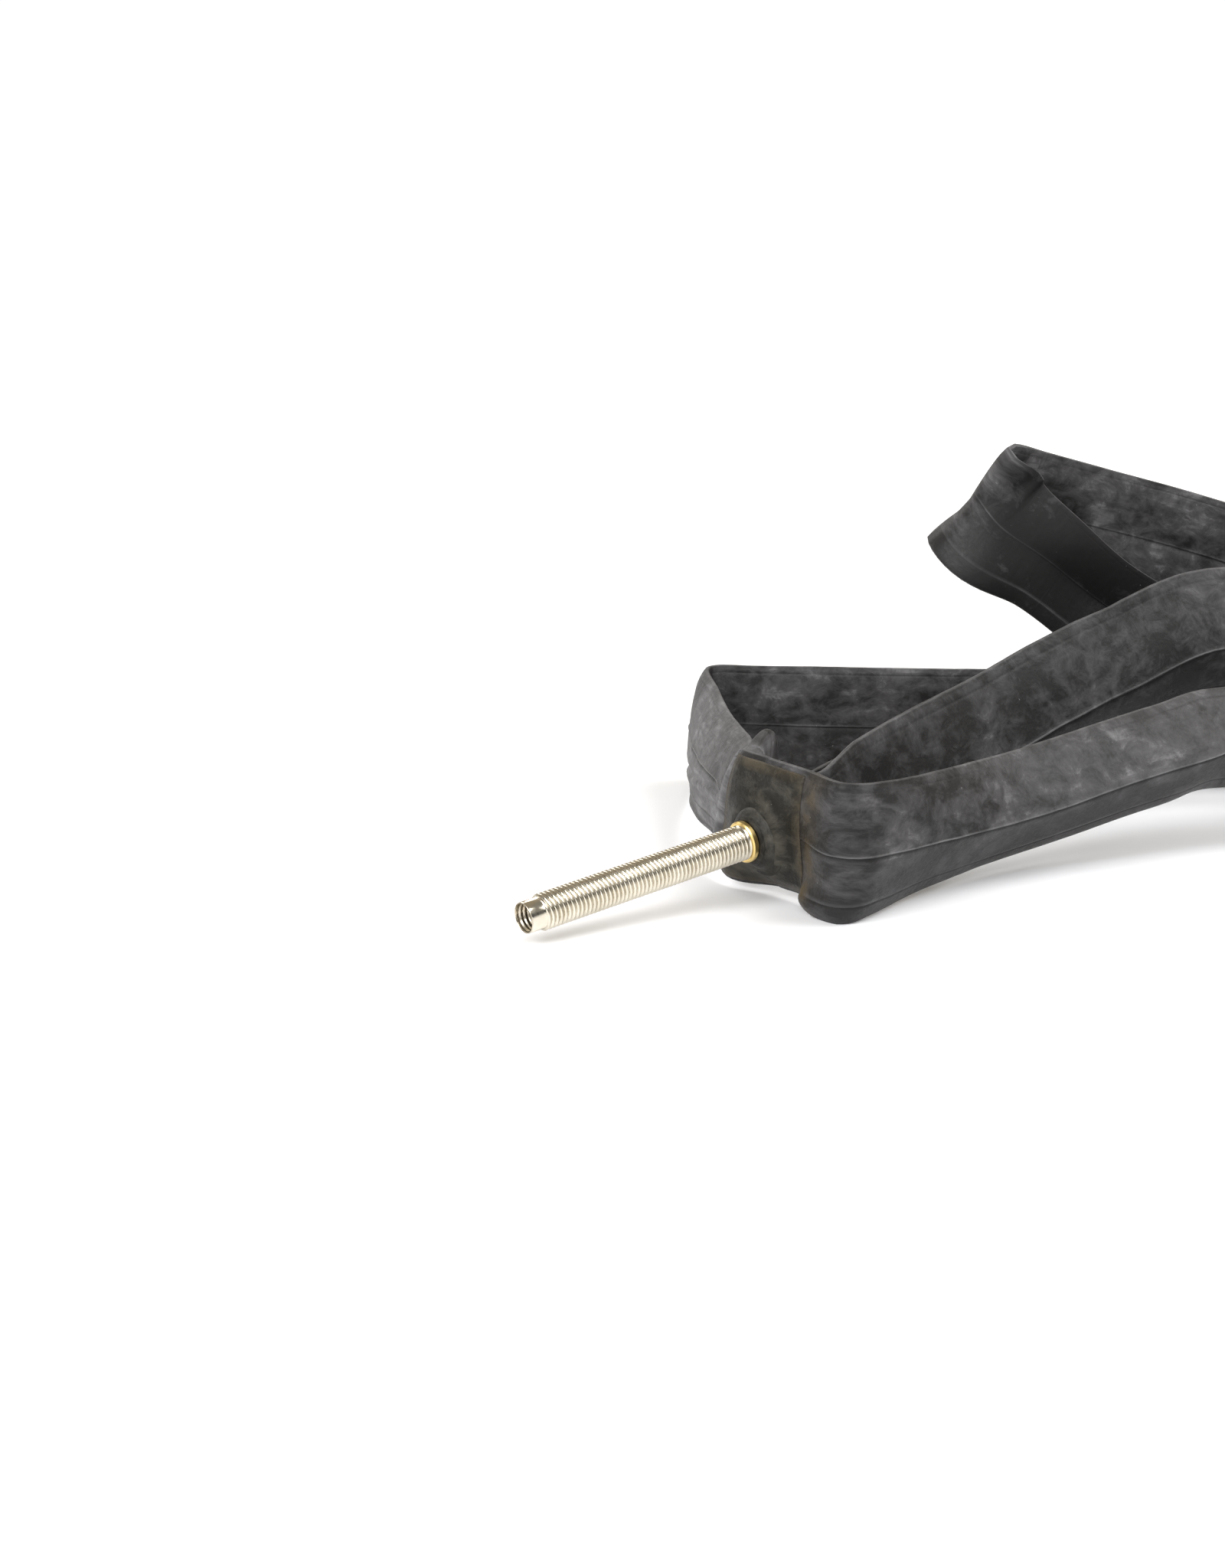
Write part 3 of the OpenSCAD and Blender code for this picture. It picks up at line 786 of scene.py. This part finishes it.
def make_boss(material):
    """Round rubber boss that rises from the patch to the brass ring."""
    stops = [
        (BOSS_R + 0.0014, -BOSS_H - 0.0001),
        (BOSS_R + 0.0006, -BOSS_H + 0.00025),
        (BOSS_R, -BOSS_H + 0.0007),
        (BOSS_R - 0.0005, -BOSS_H + 0.0013),
        (BOSS_R - 0.0011, -BOSS_H + 0.0019),
        (RING_R + 0.0006, -0.0003),
        (RING_R + 0.0002, -0.00003),
    ]
    profile = smooth_line(stops, 5)
    profile.append((STEM_R + 0.00002, -0.00004))
    profile.append((STEM_R + 0.00002, -BOSS_H))
    profile.append((BOSS_R + 0.0006, -BOSS_H - 0.0006))
    outside = 5 * (len(stops) - 1)
    columns = 96

    def wobble(k, angle, radius, height):
        if k > outside:
            return radius, height
        share = 1.0 - k / outside
        x, y = math.cos(angle), math.sin(angle)
        radius += 0.00020 * tone(x, y, 1.3, 2.0) * share
        height += 0.00010 * tone(x + share, y, 2.0, 4.0) * share
        return radius, height

    points, faces = lathe(profile, columns, wobble)
    matrix = stem_matrix()
    points = [matrix @ p for p in points]
    piece = new_piece("valve_boss_skin", points, faces, material, "tube_with_valve")
    uv = [(0.0004 * k, 0.0004 * j) for k in range(len(profile)) for j in range(columns)]
    # a light band round the boss's shoulder: painted highlight
    marks = [
        (0.25 * bell(k, 12, 5), 0.0, 0.0, 0.45)
        for k in range(len(profile)) for j in range(columns)
    ]
    add_run_uv(piece, uv, marks)
    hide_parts("valve_boss")
    return piece


def thread_radius(share, root, crest):
    """Radius at a share of one pitch: a rolled thread, its crests and roots well rounded."""
    x = abs(share - 0.5) * 2.0
    return root + (crest - root) * (0.5 + 0.5 * math.cos(math.pi * x)) ** 0.8


def thread_grid(low, high, root, crest, start, end, rows, columns):
    """Rows that follow the helix between two heights; a row past an end is held at it.

    start and end say over what length the thread runs out there, and to what radius.
    """
    count = int(math.ceil((high - low) / PITCH)) + 2
    grid = []
    for k in range(-rows, count * rows + 1):
        line = []
        share = (k % rows) / rows
        for j in range(columns + 1):
            raw = low + (k / rows) * PITCH + PITCH * (j / columns)
            height = min(high, max(low, raw))
            radius = thread_radius(share, root, crest)
            at_start = min(1.0, max(0.0, (height - low) / start[0]))
            at_end = min(1.0, max(0.0, (high - height) / end[0]))
            radius = start[1] + (radius - start[1]) * at_start
            radius = end[1] + (radius - end[1]) * at_end
            line.append((radius, height))
        grid.append(line)
    return grid


def make_stem(material):
    """Threaded stem: outer helix, plain neck, open mouth with its inside thread, foot."""
    rows, columns = 8, 72
    points, faces = [], []

    def add_ring(radius, height):
        start = len(points)
        for j in range(columns):
            angle = 2 * math.pi * j / columns
            points.append(Vector((radius * math.cos(angle), radius * math.sin(angle), height)))
        return start

    def bridge(one, two):
        for j in range(columns):
            i = (j + 1) % columns
            faces.append((one + j, one + i, two + i, two + j))

    def add_helix(grid):
        """Helical sheet; its last column is the first one, a pitch further on."""
        starts = []
        for line in grid:
            start = len(points)
            starts.append(start)
            for j in range(columns):
                angle = 2 * math.pi * j / columns
                radius, height = line[j]
                points.append(Vector((radius * math.cos(angle), radius * math.sin(angle), height)))
        for k in range(len(grid) - 1):
            for j in range(columns):
                if j < columns - 1:
                    here, above = starts[k] + j, starts[k + 1] + j
                    faces.append((here, here + 1, above + 1, above))
                elif k + 1 + rows < len(grid):
                    faces.append((
                        starts[k] + j, starts[k + rows], starts[k + 1 + rows], starts[k + 1] + j,
                    ))

    low = RING_TOP + 0.0002
    high = STEM_LEN - NECK_LEN
    outer = thread_grid(
        low, high, STEM_R - THREAD_DEPTH, STEM_R, (0.0004, NECK_R), (0.0003, NECK_R), rows, columns
    )
    add_helix(outer)
    base = add_ring(NECK_R, low)
    shank = add_ring(STEM_R - 0.00002, low)
    shank_low = add_ring(STEM_R - 0.00002, -BOSS_H + FLANGE_T)
    foot_top = add_ring(FOOT_R, -BOSS_H + FLANGE_T)
    foot_low = add_ring(FOOT_R, -BOSS_H + 0.0001)
    foot_in = add_ring(AIR_R, -BOSS_H + 0.0001)
    air_top = add_ring(AIR_R, STEM_LEN - MOUTH_DEPTH)
    step = add_ring(MOUTH_R, STEM_LEN - MOUTH_DEPTH)
    inner_low = STEM_LEN - MOUTH_THREAD
    wall = add_ring(MOUTH_R, inner_low)
    for one, two in (
        (base, shank), (shank, shank_low), (shank_low, foot_top), (foot_top, foot_low),
        (foot_low, foot_in), (foot_in, air_top), (air_top, step), (step, wall),
    ):
        bridge(two, one)
    inner_high = STEM_LEN - 0.00025
    inner = thread_grid(
        inner_low, inner_high, MOUTH_R + 0.0002, MOUTH_R,
        (0.0003, MOUTH_R), (0.0006, MOUTH_R + 0.00022), rows, columns,
    )
    add_helix(inner)
    # the rim of the mouth, its corners broken
    rim = [
        add_ring(NECK_R, high),
        add_ring(NECK_R, STEM_LEN - 0.00025),
        add_ring(NECK_R - 0.00004, STEM_LEN - 0.00008),
        add_ring(NECK_R - 0.00012, STEM_LEN),
        add_ring(MOUTH_R + 0.00030, STEM_LEN),
        add_ring(MOUTH_R + 0.00024, STEM_LEN - 0.00008),
        add_ring(MOUTH_R + 0.00022, inner_high),
    ]
    for one, two in zip(rim, rim[1:]):
        bridge(one, two)
    matrix = stem_matrix()
    points = [matrix @ p for p in points]
    piece = new_piece("valve_stem_thread", points, faces, material, "tube_with_valve")
    tidy_mesh(piece, 0.000004)
    back = matrix.inverted()
    shade_and_dark_rim = piece.data.attributes.new("shade_and_dark_rim", "FLOAT", "POINT")
    for vertex in piece.data.vertices:
        place = back @ vertex.co
        radius = math.hypot(place.x, place.y)
        # painted shade in the thread roots and inside the mouth; the mouth's rim is darkened too
        deep = rise(STEM_R - radius, 0.00018, THREAD_DEPTH)
        on_rim = rise(place.z, STEM_LEN - 0.00012, STEM_LEN - 0.00004)
        inside = rise(NECK_R - 0.00015 - radius, 0.0, 0.00005)
        on_neck = rise(place.z, high - 0.0001, high)
        root_shade = 0.85 * deep * (1.0 - on_neck)
        shade_and_dark_rim.data[vertex.index].value = max(root_shade * (1.0 - inside), 0.6 * inside, 0.75 * on_rim)
    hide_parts("valve_stem")
    return piece


def tidy_mesh(piece, distance):
    """Join points closer than distance, turn the faces outward and shade them smooth."""
    work = bmesh.new()
    work.from_mesh(piece.data)
    bmesh.ops.remove_doubles(work, verts=work.verts, dist=distance)
    bmesh.ops.recalc_face_normals(work, faces=work.faces)
    work.to_mesh(piece.data)
    work.free()
    for polygon in piece.data.polygons:
        polygon.use_smooth = True


def dress(node, material):
    """Give a CAD node its material."""
    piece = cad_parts[node]
    piece.data.materials.clear()
    piece.data.materials.append(material)


def main():
    make_camera()
    make_world()
    make_floor()
    area_light("key_right", (0.70, -0.15, 1.05), (-0.08, -0.02, 0.0), (0.9, 0.9), 15.5)
    area_light("back_left", (-0.95, 0.95, 1.0), (-0.06, 0.0, 0.0), (1.0, 0.7), 7.0)
    area_light("front", (-0.40, -1.15, 0.90), (-0.1, 0.0, 0.02), (0.8, 0.5), 9.0)
    area_light("left", (-0.90, -0.70, 0.65), (-0.1, 0.0, 0.02), (0.5, 0.4), 9.5)
    bpy.context.scene.view_settings.view_transform = "Standard"

    powder_and_highlight = (0.24, 0.24, 0.245)
    stain = (0.060, 0.042, 0.018)
    rubber = rubber_material(
        "tube_rubber_look", (0.013, 0.0125, 0.0125), (0.072, 0.070, 0.072), powder_and_highlight, stain
    )
    patch_rubber = rubber_material(
        "patch_rubber_look", (0.007, 0.006, 0.004), (0.062, 0.057, 0.045), (0.13, 0.125, 0.11), stain
    )
    plate = ((0.76, 0.71, 0.61), (0.64, 0.59, 0.48), 0.13, 0.25)
    bump = 0.00001
    # colour of the painted shade in the stem's thread roots and mouth, and of its darker rim
    shade_and_dark_rim = (0.26, 0.215, 0.15)
    nickel = metal_material("nickel_look", *plate, bump)
    stem_nickel = metal_material("stem_nickel_look", *plate, bump, shade_and_dark_rim)
    brass = metal_material("brass_look", (0.84, 0.64, 0.27), (0.72, 0.52, 0.20), 0.28, 0.40, bump)
    seal = seal_material()

    make_tube(rubber)
    make_patch(patch_rubber)
    make_boss(patch_rubber)
    make_stem(stem_nickel)
    dress("base_ring", brass)
    dress("core_body", nickel)
    dress("core_sleeve", seal)
    dress("core_plunger", brass)
    dress("plunger_seal", seal)
    dress("lock_nut", brass)


main()
